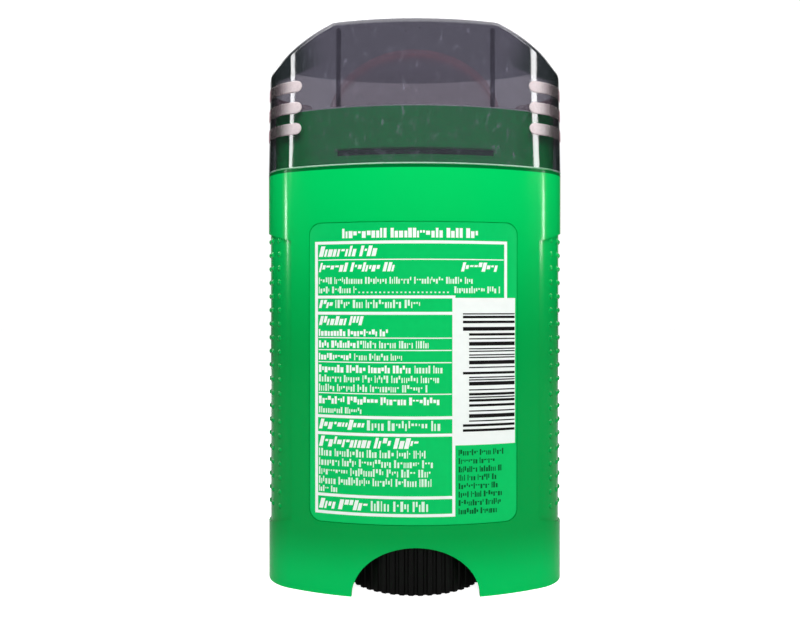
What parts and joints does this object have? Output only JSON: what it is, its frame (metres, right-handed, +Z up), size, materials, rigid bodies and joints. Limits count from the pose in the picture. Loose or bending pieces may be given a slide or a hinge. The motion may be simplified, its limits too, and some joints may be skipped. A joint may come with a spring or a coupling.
{
  "type": "deodorant stick",
  "caption": "Oval twist-up deodorant stick: one-piece barrel with dotted side grips, tinted cap with slanted shoulders, base dial with a screw feed, and a domed inner seal.",
  "frame": {"origin": "middle of the base, in the plane that the barrel's skirt stands on", "axes": "+Z up along the stick, +X to the right seen from the back label, back label faces -Y, front label faces +Y"},
  "size_m": [0.0662, 0.033, 0.1212],
  "materials": {
    "barrel_green": "gloss moulded green",
    "label_film": "gloss printed film",
    "dial_black": "satin moulded black",
    "natural_plastic": "satin natural",
    "stick_solid": "waxy satin",
    "seal_clear": "clear tinted",
    "cap_smoke": "clear smoke tint, polished"
  },
  "bodies": {
    "barrel": {"barrel": "barrel_green", "label_back": "label_film", "label_front": "label_film"},
    "dial": {"dial": "dial_black", "spindle": "natural_plastic"},
    "carriage": {"elevator": "natural_plastic", "product": "stick_solid", "seal": "seal_clear"},
    "cap": {"cap": "cap_smoke"}
  },
  "joints": [
    {"name": "dial_turn", "type": "hinge", "parent": "barrel", "child": "dial", "pos_m": [0, 0, 0], "axis": [0, 0, 1], "range_deg": [0, 3385]},
    {"name": "stick_feed", "type": "slide", "parent": "barrel", "child": "carriage", "axis": [0, 0, 1], "range_m": [0, 0.047]},
    {"name": "cap_lift", "type": "slide", "parent": "carriage", "child": "cap", "axis": [0, 0, 1], "range_m": [0, 0.05]}
  ],
  "couplings": [
    {"joint": "dial_turn", "follows": "stick_feed", "rad_per_m": 1256.6}
  ]
}
